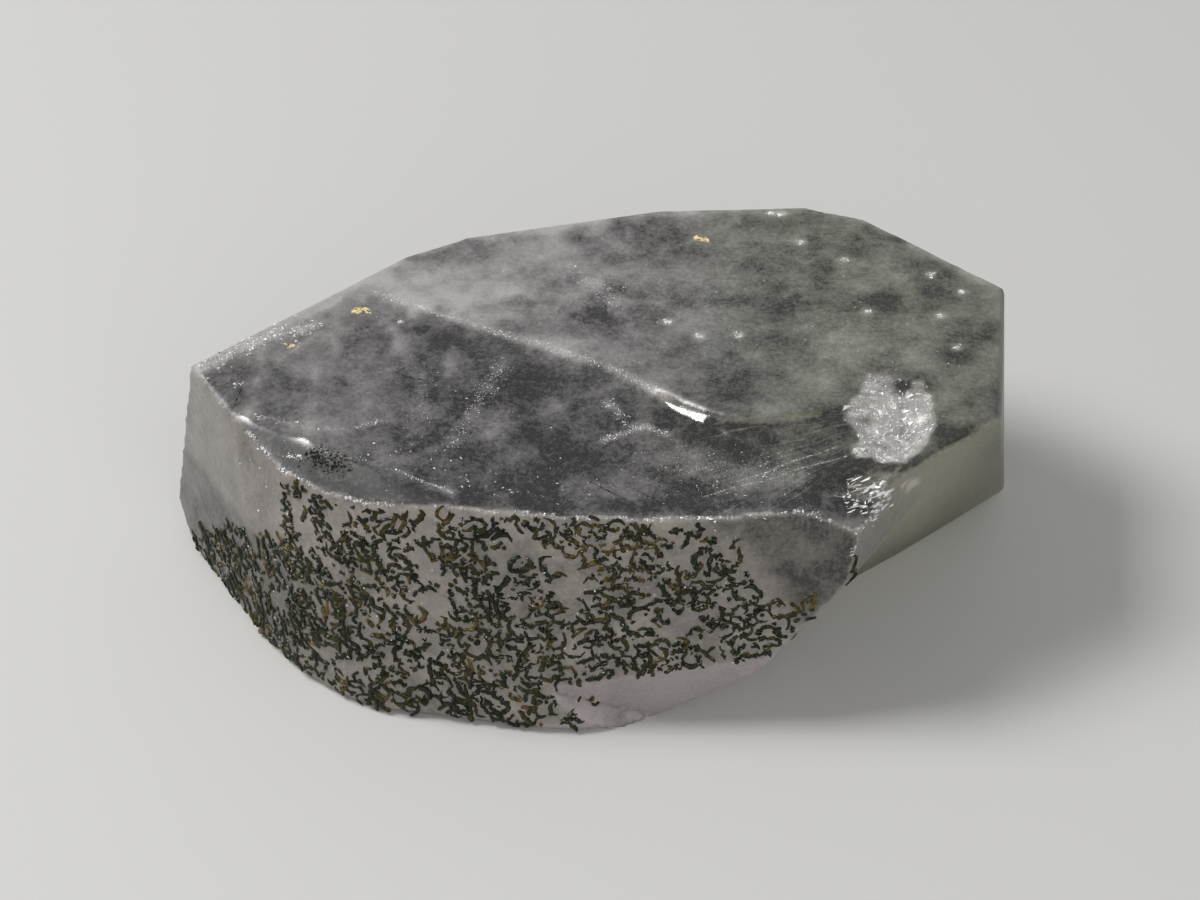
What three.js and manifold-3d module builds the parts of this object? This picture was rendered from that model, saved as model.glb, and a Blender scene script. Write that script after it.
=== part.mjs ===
// A loose tabular apatite crystal, lying on its lower base. It is one solid: flat side faces round
// a flat top, the front of the top broken away in a shell-shaped fracture, a notch where its right
// end undercuts, scars and chips along the edges, and dark grains of a second mineral that are
// grown on to its front.
// Units are millimetres, +Z is up, and the origin is the middle of the box's bottom.
import * as THREE from "three";
import { mergeVertices } from "three/addons/utils/BufferGeometryUtils.js";
import Module from "manifold-3d";

const wasm = await Module();
wasm.setup();

// Driving dimensions.
const THICKNESS = 15;
const ROUGH_BLOCK = 80;
const EDGE_BEVEL = 0.35;
const BASE_BEVEL = 0.5;

// The side faces, in order round the crystal. faces is the way a face looks in plan, in degrees
// from +X; reach is its distance from the axis at the base; lean is how far it looks up, in
// degrees, and is negative where the face undercuts the crystal.
const SIDE_FACES = [
  { faces: -6.5, reach: 24.2, lean: 4.5 },
  { faces: 46.6, reach: 22.3, lean: 2 },
  { faces: 70, reach: 19.2, lean: 0 },
  { faces: 92.5, reach: 14.6, lean: -2.5 },
  { faces: 104, reach: 15.1, lean: 4 },
  { faces: 119.7, reach: 17.45, lean: 10.2 },
  { faces: 133, reach: 19.72, lean: 16 },
  { faces: 170, reach: 23.9, lean: -21 },
  { faces: 211, reach: 20.2, lean: 1.2 },
  { faces: 218, reach: 19.64, lean: 2.5 },
  { faces: 232, reach: 18.52, lean: 3.7 },
  { faces: 247, reach: 17.05, lean: 5.3 },
  { faces: 260, reach: 15.35, lean: 6.4 },
  { faces: 269, reach: 15.2, lean: 11.3 },
];

// The notch at the right lies outside both the long face behind it and the end of the front.
const NOTCH_BACK = { faces: -51, reach: 10.97, lean: -26.8 };
const NOTCH_END = [
  { faces: -32, reach: 18.14, lean: -3.5 },
  { faces: -32, reach: 12.8, lean: -31.7 },
];

// The chip at the foot of the front lies outside both its back and its left face, and a steeper
// break undercuts it at the right.
const FOOT_BACK = { faces: 273.1, reach: 13.77, lean: -12 };
const FOOT_LEFT = { faces: 298.7, reach: 13.56, lean: 37.5 };
const FOOT_UNDER = { faces: 314, reach: 12.14, lean: -48 };

// The edge of the part of the top that didn't break, from the back left to the right, in plan.
const STEP_LINE = [
  [-21, 13.5],
  [-13.2, 6.8],
  [-9, 4.5],
  [-3.7, 1.6],
  [1.4, -1.3],
  [3.9, -3.2],
  [6.7, -5],
  [9.2, -5.5],
  [13.1, -4.6],
  [16, -2.8],
  [17.6, -0.9],
  [18.7, -3.2],
  [19.6, -5.4],
  [24, -7.4],
];
// A narrow lens-shaped terrace under the deepest part of that edge.
const TERRACE = { from: 4.2, to: 14.2, width: 1.1, drop: 0.45 };

// The blow that broke the top, and the shell-shaped hollow that spread from it, which grows
// deeper towards the front.
const BLOW = { x: 16.7, y: -4.5 };
const HOLLOW = { x: 2.3, y: -12.5, halfLength: 20, halfWidth: 13.5, lip: 0.15, depth: 1.3 };
const RIPPLE = { height: 0.09, spacing: 3.6 };
const FRACTURE_GRID = 1.1;

// Smaller scars, each the mark of an egg-shaped ball: its centre, its radii, its turn in plan in
// degrees, and how finely it is faced. One broke the corner by the blow, and a long shallow one the
// left of the top's front edge.
const SCARS = [
  { at: [14.7, -12.2, 17.6], radii: [4.5, 3.8, 4.7], turn: 0, segments: 24 },
  { at: [-14.85, -11.65, 21.9], radii: [60, 7.3, 8], turn: -29.6, segments: 64 },
];
const BRUISE = { at: [16.2, -6.8, 15.1], radii: [2.5, 3.3, 1], roughness: 0.16 };

// The nicks along the front edge of the top: how many, between which places along X, and how long.
const NICKS = { count: 30, from: -19, to: 13, length: [0.7, 1.7], width: 0.5, depth: 0.3 };

// The grains on the front, each a low faceted bead that lies on the face, and where they grow:
// between a lower and an upper line, given by heights at places along X.
const GRAINS = { count: 240, length: [0.9, 2.1], width: [0.42, 0.68], proud: 0.24 };
const GRAIN_ZONE = {
  x: [-22, -17, -13, -4.5, -2, 0, 5, 8, 11, 12.8],
  low: [1.2, 0.6, 0.6, 0.8, 3.6, 4.5, 5, 5.4, 7.2, 9.4],
  high: [4.6, 7.2, 12.4, 12.6, 12.6, 12.6, 12.4, 9.8, 8.8, 10.4],
};
const RANDOM_SEED = 7;

const radians = THREE.MathUtils.degToRad;
const lerp = THREE.MathUtils.lerp;

// Random numbers from 0 to 1 that are the same in each run.
function randomNumbers(seed) {
  let state = seed;
  return () => {
    state = (state * 16807) % 2147483647;
    return state / 2147483647;
  };
}

// A closed geometry as a solid that can be joined and cut.
function solid(geometry) {
  const bare = geometry.clone();
  bare.deleteAttribute("normal");
  bare.deleteAttribute("uv");
  const merged = mergeVertices(bare, 1e-4);
  return new wasm.Manifold(
    new wasm.Mesh({
      numProp: 3,
      vertProperties: merged.attributes.position.array,
      triVerts: new Uint32Array(merged.index.array),
    }),
  );
}

// What a flat face leaves outside it: a block whose inner side lies on the face.
function beyondFace({ faces, reach, lean }) {
  const block = new THREE.BoxGeometry(ROUGH_BLOCK, 2 * ROUGH_BLOCK, 2 * ROUGH_BLOCK);
  block.translate(ROUGH_BLOCK / 2, 0, 0);
  block.rotateY(radians(-lean));
  block.translate(reach, 0, 0);
  block.rotateZ(radians(faces));
  return solid(block);
}

// The distance of a side face from the axis at a height.
function reachAt({ reach, lean }, height) {
  return reach - height * Math.tan(radians(lean));
}

// The slope that takes off the sharp edge of a side face, at the top or at the base.
function beyondBevel(face, level, size) {
  const up = level > 0 ? 1 : -1;
  return beyondFace({
    faces: face.faces,
    reach: reachAt(face, level) - size + up * level,
    lean: up * 45,
  });
}

// The unbroken crystal: a block with every face cut on it.
function prism() {
  const block = new THREE.BoxGeometry(ROUGH_BLOCK, ROUGH_BLOCK, THICKNESS);
  block.translate(0, 0, THICKNESS / 2);
  let crystal = solid(block);
  for (const face of SIDE_FACES) {
    crystal = crystal
      .subtract(beyondFace(face))
      .subtract(beyondBevel(face, THICKNESS, EDGE_BEVEL))
      .subtract(beyondBevel(face, 0, BASE_BEVEL));
  }
  const [upper, lower] = NOTCH_END.map(beyondFace);
  return crystal
    .subtract(beyondFace(NOTCH_BACK).intersect(upper.add(lower)))
    .subtract(beyondFace(FOOT_BACK).intersect(beyondFace(FOOT_LEFT)))
    .subtract(beyondFace(FOOT_UNDER));
}

// The height of the broken surface: a shallow hollow, soft at its back, with ripples round the blow.
function fractureHeight(x, y) {
  const along = (x - HOLLOW.x) / HOLLOW.halfLength;
  const across = (y - HOLLOW.y) / HOLLOW.halfWidth;
  const bowl = Math.max(0, 1 - along * along - across * across);
  const fromBlow = Math.hypot(x - BLOW.x, y - BLOW.y);
  const ripple = RIPPLE.height * Math.cos((2 * Math.PI * fromBlow) / RIPPLE.spacing);
  return THICKNESS - HOLLOW.lip - HOLLOW.depth * bowl * bowl + ripple;
}

// Everything above the broken surface.
function aboveFracture() {
  const length = ROUGH_BLOCK;
  const width = ROUGH_BLOCK / 2;
  const slab = new THREE.BoxGeometry(
    length,
    width,
    THICKNESS,
    Math.round(length / FRACTURE_GRID),
    Math.round(width / FRACTURE_GRID),
    1,
  );
  const place = slab.attributes.position;
  for (let i = 0; i < place.count; i++) {
    if (place.getZ(i) < 0) place.setZ(i, fractureHeight(place.getX(i), place.getY(i)));
    else place.setZ(i, 2 * THICKNESS);
  }
  return solid(slab);
}

// A column under the part of the top behind the step line, up to a level. Where the terrace lies,
// it can be grown by up to a width.
function behindStep(width, level) {
  const line = new THREE.SplineCurve(STEP_LINE.map(([x, y]) => new THREE.Vector2(x, y)));
  const edge = line.getSpacedPoints(60).map(({ x, y }) => {
    const share = (x - TERRACE.from) / (TERRACE.to - TERRACE.from);
    const growth = share > 0 && share < 1 ? width * Math.sin(Math.PI * share) : 0;
    return new THREE.Vector2(x, y - growth);
  });
  const shape = new THREE.Shape([
    ...edge,
    new THREE.Vector2(ROUGH_BLOCK / 2, -ROUGH_BLOCK / 8),
    new THREE.Vector2(ROUGH_BLOCK / 2, ROUGH_BLOCK / 2),
    new THREE.Vector2(-ROUGH_BLOCK / 4, ROUGH_BLOCK / 2),
  ]);
  return solid(new THREE.ExtrudeGeometry(shape, { depth: level, bevelEnabled: false }));
}

// What broke away from the top in one piece.
function fracture() {
  return aboveFracture()
    .subtract(behindStep(0, 3 * THICKNESS))
    .subtract(behindStep(TERRACE.width, THICKNESS - TERRACE.drop));
}

// A smaller scar's ball.
function scar({ at, radii, turn, segments }) {
  const ball = new THREE.SphereGeometry(1, segments, segments / 2);
  ball.scale(...radii);
  ball.rotateZ(radians(turn));
  ball.translate(...at);
  return solid(ball);
}

// The crushed hollow at the blow: a low many-sided lump with its corners moved at random.
function bruise({ at, radii, roughness }, random) {
  const lump = new THREE.IcosahedronGeometry(1, 3);
  lump.deleteAttribute("normal");
  lump.deleteAttribute("uv");
  const merged = mergeVertices(lump, 1e-4);
  const place = merged.attributes.position;
  for (let i = 0; i < place.count; i++) {
    const swell = 1 + roughness * (2 * random() - 1);
    place.setXYZ(i, place.getX(i) * swell, place.getY(i) * swell, place.getZ(i) * swell);
  }
  merged.scale(...radii);
  merged.translate(...at);
  return solid(merged);
}

// A small eight-sided bead, long along x.
function bead(length, width, height) {
  const shape = new THREE.OctahedronGeometry(1);
  shape.scale(length / 2, width / 2, height);
  return shape;
}

// The face of the front that a point in plan lies nearest to, at a height.
function frontFaceAt(x, height) {
  let nearest = null;
  let lowest = Infinity;
  for (const face of SIDE_FACES.filter(({ faces }) => faces > 200)) {
    const turn = radians(face.faces);
    const y = (reachAt(face, height) - x * Math.cos(turn)) / Math.sin(turn);
    if (nearest === null || y > lowest) {
      nearest = face;
      lowest = y;
    }
  }
  return { face: nearest, y: lowest };
}

// A value between those of a list, by where x falls among the list's places.
function between(places, values, x) {
  const next = places.findIndex((place) => place > x);
  if (next < 1) return next === 0 ? values[0] : values[values.length - 1];
  const share = (x - places[next - 1]) / (places[next] - places[next - 1]);
  return lerp(values[next - 1], values[next], share);
}

// One grain, lying on the front at a random place and turn.
function grain(random) {
  const x = lerp(GRAIN_ZONE.x[0], GRAIN_ZONE.x[GRAIN_ZONE.x.length - 1], random());
  const low = between(GRAIN_ZONE.x, GRAIN_ZONE.low, x);
  const high = between(GRAIN_ZONE.x, GRAIN_ZONE.high, x);
  const z = lerp(low, high, random());
  const { face, y } = frontFaceAt(x, z);
  const length = lerp(...GRAINS.length, random());
  const width = lerp(...GRAINS.width, random());
  const shape = bead(length, width, GRAINS.proud);
  shape.rotateZ(Math.PI * random());
  shape.rotateY(radians(90 - face.lean));
  shape.rotateZ(radians(face.faces));
  shape.translate(x, y, z);
  return solid(shape);
}

// One nick, at a random place on the front edge of the top.
function nick(random) {
  const x = lerp(NICKS.from, NICKS.to, random());
  const { y } = frontFaceAt(x, THICKNESS - HOLLOW.lip - HOLLOW.depth);
  const shape = bead(lerp(...NICKS.length, random()), NICKS.width, NICKS.depth);
  shape.rotateZ(Math.PI * random());
  shape.rotateX(random() - 0.5);
  shape.translate(x, y, fractureHeight(x, y));
  return solid(shape);
}

// The crystal with its scars, nicks and grains.
function specimenBody() {
  const random = randomNumbers(RANDOM_SEED);
  let body = prism().subtract(fracture());
  for (const mark of SCARS) body = body.subtract(scar(mark));
  body = body.subtract(bruise(BRUISE, random));
  for (let i = 0; i < NICKS.count; i++) body = body.subtract(nick(random));
  for (let i = 0; i < GRAINS.count; i++) body = body.add(grain(random));
  const underBase = new THREE.BoxGeometry(ROUGH_BLOCK, ROUGH_BLOCK, THICKNESS);
  underBase.translate(0, 0, -THICKNESS / 2);
  return body.subtract(solid(underBase));
}

// A finished solid as a mesh with flat-shaded faces, moved in plan so that its box is centred.
function meshOf(made, name, material) {
  const { numProp, vertProperties, triVerts } = made.getMesh();
  const geometry = new THREE.BufferGeometry();
  const position = new Float32Array((vertProperties.length / numProp) * 3);
  for (let i = 0; i < position.length / 3; i++) {
    position.set(vertProperties.subarray(i * numProp, i * numProp + 3), i * 3);
  }
  geometry.setAttribute("position", new THREE.BufferAttribute(position, 3));
  geometry.setIndex(new THREE.BufferAttribute(triVerts, 1));
  const flat = geometry.toNonIndexed();
  flat.computeVertexNormals();
  flat.computeBoundingBox();
  const middle = flat.boundingBox.getCenter(new THREE.Vector3());
  const mesh = new THREE.Mesh(flat, material);
  mesh.name = name;
  mesh.position.set(-middle.x, -middle.y, 0);
  return mesh;
}

const clearStone = new THREE.MeshStandardMaterial({
  color: 0xb9b0b2,
  roughness: 0.35,
  metalness: 0,
  transparent: true,
  opacity: 0.8,
});

const specimen = new THREE.Group();
specimen.add(meshOf(specimenBody(), "crystal", clearStone));

export default specimen;
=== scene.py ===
import math

import bpy
import numpy as np
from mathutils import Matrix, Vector


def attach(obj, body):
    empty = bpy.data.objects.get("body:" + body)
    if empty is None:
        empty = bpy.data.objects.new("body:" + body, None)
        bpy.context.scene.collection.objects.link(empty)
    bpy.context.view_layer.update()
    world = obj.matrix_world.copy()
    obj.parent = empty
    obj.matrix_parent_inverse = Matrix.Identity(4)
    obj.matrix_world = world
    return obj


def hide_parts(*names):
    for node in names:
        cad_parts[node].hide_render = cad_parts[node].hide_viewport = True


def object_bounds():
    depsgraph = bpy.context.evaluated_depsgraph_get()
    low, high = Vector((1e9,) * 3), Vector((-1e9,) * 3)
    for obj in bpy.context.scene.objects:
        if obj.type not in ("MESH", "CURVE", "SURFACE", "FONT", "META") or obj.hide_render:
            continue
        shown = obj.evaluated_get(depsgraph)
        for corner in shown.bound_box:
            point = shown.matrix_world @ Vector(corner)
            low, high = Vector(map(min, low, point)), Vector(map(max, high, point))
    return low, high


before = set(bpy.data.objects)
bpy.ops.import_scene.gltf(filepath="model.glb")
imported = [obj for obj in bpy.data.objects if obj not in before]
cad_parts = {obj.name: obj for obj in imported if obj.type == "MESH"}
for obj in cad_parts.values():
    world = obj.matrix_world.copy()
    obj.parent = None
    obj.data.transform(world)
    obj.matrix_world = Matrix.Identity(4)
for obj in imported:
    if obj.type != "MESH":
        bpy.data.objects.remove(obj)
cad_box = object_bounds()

# The looks of a loose, clear, tabular apatite crystal with a shell-shaped break across its top.
# Everything below is in metres; MM turns the millimetres of the notes into them.
MM = 0.001
SEED = 11

# The camera stands in front of the crystal and looks down at it.
CAMERA_AIM = (0.2 * MM, -6.26 * MM, 13 * MM)
CAMERA_DISTANCE = 172 * MM
CAMERA_ELEVATION = math.radians(38)
CAMERA_WIDTH_ANGLE = math.radians(22)

# The plain studio: a pale floor, two soft lights and even light from all round.
FLOOR_REACH = 1.5
FLOOR_COLOUR = (0.5, 0.5, 0.49, 1)
FLOOR_ROUGHNESS = 0.7
KEY_LIGHT = {"place": (-0.3, 0.02, 0.4), "aim": (0, 0, 0), "size": 0.2, "power": 2.3,
             "colour": (1.0, 0.99, 0.97)}
FILL_LIGHT = {"place": (0.15, -0.55, 0.35), "aim": (0, 0, 0.005), "size": 0.5, "power": 1.4,
              "colour": (1.0, 0.98, 0.96)}
WORLD_COLOUR = (0.98, 0.98, 1.0, 1)
WORLD_STRENGTH = 0.4

# The crystal's fine surface: the size of its net, how far a grain of the CAD solid may stand out
# of a face, and how far the broken surface lies from the flat faces.
VOXEL = 0.225 * MM
BUMP_LIMIT = 0.45 * MM
FRESH_DISTANCE = 0.09 * MM
FRESH_SMOOTHING = 8
EDGE_CHIPPING = 0.2 * MM
BRUISE_RELIEF = 0.14 * MM
# Which of the solid's faces stay flat: the least area of one, how closely two triangles' directions
# and distances have to agree to be one face, and which faces count as level.
PLANE_AREA = 5 * MM * MM
PLANE_TURNS = 60
PLANE_STEP = 0.1 * MM
LEVEL_NORMAL = 0.9
TOP_TOLERANCE = 0.02 * MM
# The heights of the break's ripples, of the ridges that fan out from the blow and of its slow
# waves, and the distance from one ripple to the next.
RIPPLE_HEIGHT = 0.012 * MM
RIDGE_HEIGHT = 0.03 * MM
WAVE_HEIGHT = 0.02 * MM
RIPPLE_LENGTH = 1.7 * MM

# Where the blow fell, in plan, the fan of fine lines that runs from it, and the crushed patch
# beside it with its clear pit.
BLOW = np.array([16.6, -4.9]) * MM
FAN_CENTRE = np.array([20, -4.5]) * MM
FAN_LINES = 52
BRUISE_CENTRE = np.array([16.5, -5.5]) * MM
BRUISE_RADII = np.array([2.3, 3.8]) * MM
BRUISE_SLANT = 0.16
PIT_CENTRE = np.array([17.2, -2.7]) * MM
PIT_RADIUS = 0.75 * MM
# The long scar at the left of the front edge: the direction across it in plan, towards the back,
# and where along that direction and in height it fades out, in millimetres.
SCAR_INWARD = np.array([0.494, 0.870])
SCAR_INNER_EDGE = (-14.5, -15.0)
SCAR_FOOT = (12.2, 12.9)

# How cloudy each side is before its patches, from 0 for deep and clear to 1 for milky.
TOP_PALE = 0.34
FRONT_PALE = 0.6
LEFT_PALE = 0.25
RIGHT_PALE = 0.46
# The foot's value is painted glow: the chip at the foot is made milky where light through the crystal
# brightens it.
FOOT_PAINTED_GLOW = 0.93
SCAR_PALE = -0.2
BRUISE_PALE = 1.05
# The crystal's colours, deep and clear or milky, and the tints that multiply them: green towards
# the right end, lilac on the chip at the foot as painted glow of light through the crystal, and warm on
# the front.
CLEAR_COLOUR = (0.055, 0.054, 0.054, 1)
MILKY_COLOUR = (0.98, 0.94, 0.94, 1)
GREEN_TINT = (0.87, 0.95, 0.78, 1)
WARM_TINT = (1.0, 0.94, 0.84, 1)
PAINTED_GLOW_LILAC_TINT = (1.0, 0.91, 0.93, 1)
# How rough it is: lowest and highest on the natural faces and on the glassy break, then on worn
# edges, on the dull parts of the break and on the crushed patch.
NATURAL_ROUGHNESS = (0.36, 0.46)
GLASSY_ROUGHNESS = (0.09, 0.24)
WORN_ROUGHNESS = 0.6
DULL_ROUGHNESS = 0.62
BRUISE_ROUGHNESS = 0.34
# How much of the fine noise is left in the material's noise patterns.
NOISE_ROUGHNESS = 0.55
# The glass itself.
TRANSMISSION = 0.7
IOR = 1.63
ABSORPTION_COLOUR = (0.74, 0.71, 0.72, 1)
ABSORPTION_DENSITY = 30.0
# Dark, middle and light colours of the flakes and the grains; the chips' colours also make the painted
# glints.
VEIL_COLOURS = ((0.2, 0.2, 0.2, 1), (0.6, 0.6, 0.6, 1), (0.92, 0.92, 0.92, 1))
CHIP_AND_GLINT_COLOURS = ((0.22, 0.22, 0.22, 1), (0.5, 0.51, 0.51, 1), (0.9, 0.91, 0.92, 1))
DUST_COLOURS = ((0.4, 0.3, 0.12, 1), (0.62, 0.5, 0.24, 1), (0.8, 0.68, 0.42, 1))
GRAIN_COLOURS = ((0.003, 0.006, 0.003, 1), (0.02, 0.02, 0.005, 1), (0.13, 0.085, 0.014, 1))


# Small tools

def smoothstep(low, high, value):
    """0 below low, 1 above high, and a smooth rise between."""
    share = np.clip((value - low) / (high - low), 0.0, 1.0)
    return share * share * (3.0 - 2.0 * share)


# Large factors that mix the three numbers of a cell, and the seed, into one that looks random.
CELL_FACTORS = (374761393, 668265263, 2147483647)
SEED_FACTOR = 974634777
MIX_FACTOR = 1274126177
MIX_MASK = 0xFFFFFF


def lattice_value(cell, seed):
    """A repeatable number from 0 to 1 for each whole-numbered cell."""
    mixed = seed * SEED_FACTOR
    for axis, factor in enumerate(CELL_FACTORS):
        mixed = mixed + cell[..., axis] * factor
    mixed = (mixed ^ (mixed >> 13)) * MIX_FACTOR
    mixed = mixed ^ (mixed >> 16)
    return (mixed & MIX_MASK) / float(MIX_MASK)


def value_noise(points, size, seed=0):
    """Smooth noise from -1 to 1 whose lumps are about size across."""
    scaled = points / size
    cell = np.floor(scaled).astype(np.int64)
    part = scaled - cell
    part = part * part * (3.0 - 2.0 * part)
    total = np.zeros(len(points))
    for corner in np.ndindex(2, 2, 2):
        weight = np.prod(np.where(corner, part, 1.0 - part), axis=1)
        total += weight * lattice_value(cell + np.array(corner), seed)
    return 2.0 * total - 1.0


def layered_noise(points, size, layers=3, seed=0):
    """Noise with finer noise on it, from about -1 to 1."""
    total = np.zeros(len(points))
    weight = 1.0
    whole = 0.0
    for layer in range(layers):
        total += weight * value_noise(points, size, seed + layer)
        whole += weight
        weight *= 0.5
        size *= 0.5
    return total / whole


def new_object(name, vertices, faces):
    """A flat-shaded mesh object in the scene from arrays of vertices and faces."""
    mesh = bpy.data.meshes.new(name)
    mesh.from_pydata(np.asarray(vertices).tolist(), [], np.asarray(faces).tolist())
    mesh.update()
    piece = bpy.data.objects.new(name, mesh)
    bpy.context.scene.collection.objects.link(piece)
    return piece


def set_attribute(piece, name, values):
    """Keeps one number for each vertex, for the material to read."""
    layer = piece.data.attributes.new(name, "FLOAT", "POINT")
    layer.data.foreach_set("value", np.asarray(values, dtype=np.float32))


# The camera, the lights and the floor

def make_camera():
    """The camera at the photograph's angle."""
    data = bpy.data.cameras.new("camera")
    data.sensor_fit = "HORIZONTAL"
    data.angle = CAMERA_WIDTH_ANGLE
    data.clip_start = 0.01
    camera = bpy.data.objects.new("camera", data)
    bpy.context.scene.collection.objects.link(camera)
    back = CAMERA_DISTANCE * math.cos(CAMERA_ELEVATION)
    up = CAMERA_DISTANCE * math.sin(CAMERA_ELEVATION)
    aim_x, aim_y, aim_z = CAMERA_AIM
    camera.location = (aim_x, aim_y - back, aim_z + up)
    camera.rotation_euler = (math.radians(90) - CAMERA_ELEVATION, 0, 0)
    bpy.context.scene.camera = camera


def make_light(name, place, aim, size, power, colour):
    """A square soft light that faces a point."""
    data = bpy.data.lights.new(name, "AREA")
    data.size = size
    data.energy = power
    data.color = colour
    light = bpy.data.objects.new(name, data)
    bpy.context.scene.collection.objects.link(light)
    light.location = place
    light.rotation_euler = (Vector(aim) - Vector(place)).to_track_quat("-Z", "Y").to_euler()


def make_studio():
    """A pale floor, one soft light above and to the left, and a weak one in front."""
    reach = FLOOR_REACH
    corners = [(-reach, -reach, 0), (reach, -reach, 0), (reach, reach, 0), (-reach, reach, 0)]
    floor = new_object("floor", corners, [(0, 1, 2, 3)])
    material = bpy.data.materials.new("floor")
    material.use_nodes = True
    shader = material.node_tree.nodes["Principled BSDF"]
    shader.inputs["Base Color"].default_value = FLOOR_COLOUR
    shader.inputs["Roughness"].default_value = FLOOR_ROUGHNESS
    floor.data.materials.append(material)
    make_light("key", **KEY_LIGHT)
    make_light("fill", **FILL_LIGHT)
    world = bpy.data.worlds.new("studio")
    world.use_nodes = True
    world.node_tree.nodes["Background"].inputs["Color"].default_value = WORLD_COLOUR
    world.node_tree.nodes["Background"].inputs["Strength"].default_value = WORLD_STRENGTH
    bpy.context.scene.world = world
    bpy.context.scene.view_settings.view_transform = "Standard"


# The crystal

def mesh_arrays(mesh):
    """A mesh's vertex places and edges as arrays."""
    vertices = np.empty(len(mesh.vertices) * 3)
    mesh.vertices.foreach_get("co", vertices)
    edges = np.empty(len(mesh.edges) * 2, dtype=np.int64)
    mesh.edges.foreach_get("vertices", edges)
    return vertices.reshape(-1, 3), edges.reshape(-1, 2)


def vertex_normals(mesh):
    """The directions that a mesh's vertices face."""
    normals = np.empty(len(mesh.vertices) * 3)
    mesh.vertex_normals.foreach_get("vector", normals)
    return normals.reshape(-1, 3)


def large_planes(mesh):
    """The planes of a mesh's large natural faces: their normals and distances."""
    count = len(mesh.polygons)
    normals = np.empty(count * 3)
    centres = np.empty(count * 3)
    areas = np.empty(count)
    mesh.polygons.foreach_get("normal", normals)
    mesh.polygons.foreach_get("center", centres)
    mesh.polygons.foreach_get("area", areas)
    normals = normals.reshape(-1, 3)
    distances = (normals * centres.reshape(-1, 3)).sum(1)
    found = {}
    for normal, distance, area in zip(normals, distances, areas):
        key = tuple(np.round(normal * PLANE_TURNS).astype(int)) + (round(distance / PLANE_STEP),)
        entry = found.setdefault(key, [0.0, np.zeros(3), 0.0])
        entry[0] += area
        entry[1] += normal * area
        entry[2] += distance * area
    planes = []
    for area, normal, distance in found.values():
        if area > PLANE_AREA:
            planes.append(np.append(normal / area, distance / area))
    planes = np.array(planes)
    # A level patch below the top belongs to the break, so it isn't a natural face.
    natural = (planes[:, 2] < LEVEL_NORMAL) | (planes[:, 3] > cad_box[1][2] - TOP_TOLERANCE)
    return planes[natural]


def remeshed(source):
    """The CAD node's mesh as an even net of small squares."""
    copy = bpy.data.objects.new("remesh", source.data.copy())
    bpy.context.scene.collection.objects.link(copy)
    modifier = copy.modifiers.new("remesh", "REMESH")
    modifier.mode = "VOXEL"
    modifier.voxel_size = VOXEL
    graph = bpy.context.evaluated_depsgraph_get()
    mesh = bpy.data.meshes.new_from_object(copy.evaluated_get(graph))
    bpy.data.objects.remove(copy)
    return mesh


def neighbour_mean(values, edges, count):
    """For each vertex, the mean of the values of the vertices it shares an edge with."""
    total = np.zeros((len(values), values.shape[1]))
    for column in range(values.shape[1]):
        total[:, column] = np.bincount(edges[:, 0], values[edges[:, 1], column], len(values))
        total[:, column] += np.bincount(edges[:, 1], values[edges[:, 0], column], len(values))
    return total / count[:, None]


def softened(values, edges, count, times):
    """One number for each vertex, spread a little over its neighbours."""
    values = values[:, None].astype(float)
    for _ in range(times):
        values = 0.5 * values + 0.5 * neighbour_mean(values, edges, count)
    return values[:, 0]


def break_relief(points):
    """How far the broken surface's fine ripples and ridges stand out, in metres."""
    offset = points[:, :2] - BLOW
    distance = np.linalg.norm(offset, axis=1)
    angle = np.arctan2(offset[:, 1], offset[:, 0])
    flat = np.c_[points[:, :2], np.zeros(len(points))]
    wander = layered_noise(flat, 4 * MM, 2, seed=3)
    ripple = np.sin(2 * math.pi * (distance / RIPPLE_LENGTH + 0.7 * wander))
    fan = np.c_[angle * 9, np.full(len(points), 0.5), distance / (9 * MM)]
    ridge = 1 - np.abs(value_noise(fan, 1.0, seed=5)) * 2.4
    ridge = np.clip(ridge, 0, 1) ** 2
    fade = smoothstep(16 * MM, 4 * MM, distance)
    return RIPPLE_HEIGHT * ripple + RIDGE_HEIGHT * ridge * fade + WAVE_HEIGHT * wander


def bruise_share(points):
    """1 inside the crushed patch, 0 outside, with a ragged rim."""
    offset = points[:, :2] - BRUISE_CENTRE
    offset[:, 0] -= BRUISE_SLANT * offset[:, 1]
    reach = np.linalg.norm(offset / BRUISE_RADII, axis=1)
    ragged = 0.38 * layered_noise(points, 1.7 * MM, 3, seed=8)
    return smoothstep(1.06, 0.9, reach + ragged) * smoothstep(11 * MM, 12 * MM, points[:, 2])


def pit_share(points):
    """1 in the clear pit at the back of the crushed patch, and less round it."""
    return np.exp(-(np.linalg.norm(points[:, :2] - PIT_CENTRE, axis=1) / PIT_RADIUS) ** 2)


def line_distance(plan, line):
    """How far points in plan lie from a line of points."""
    nearest = np.full(len(plan), np.inf)
    line = np.array(line, dtype=float)
    for start, end in zip(line[:-1], line[1:]):
        step = end - start
        share = np.clip(((plan - start) @ step) / (step @ step), 0, 1)
        nearest = np.minimum(nearest, np.linalg.norm(plan - start - share[:, None] * step, axis=1))
    return nearest


def veil_share(points):
    """How cloudy the veils make the top, from 0 to 1."""
    total = np.zeros(len(points))
    broken_up = np.clip(0.55 + 0.9 * layered_noise(points, 0.9 * MM, 3, seed=71), 0, 1)
    for line, width, _, _, bright in VEILS:
        distance = line_distance(points[:, :2] / MM, line)
        total = np.maximum(total, bright * np.exp(-(distance / max(width, LEAST_VEIL_WIDTH)) ** 2))
    return total * broken_up * smoothstep(10 * MM, 12 * MM, points[:, 2])


def fleck_share(points):
    """How cloudy the single flecks make the flat top, from 0 to 1."""
    total = np.zeros(len(points))
    for fleck in FLECKS:
        distance = np.linalg.norm(points[:, :2] / MM - fleck, axis=1)
        total += FLECK_BRIGHTNESS * np.exp(-(distance / FLECK_RADIUS) ** 2)
    return total


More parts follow.
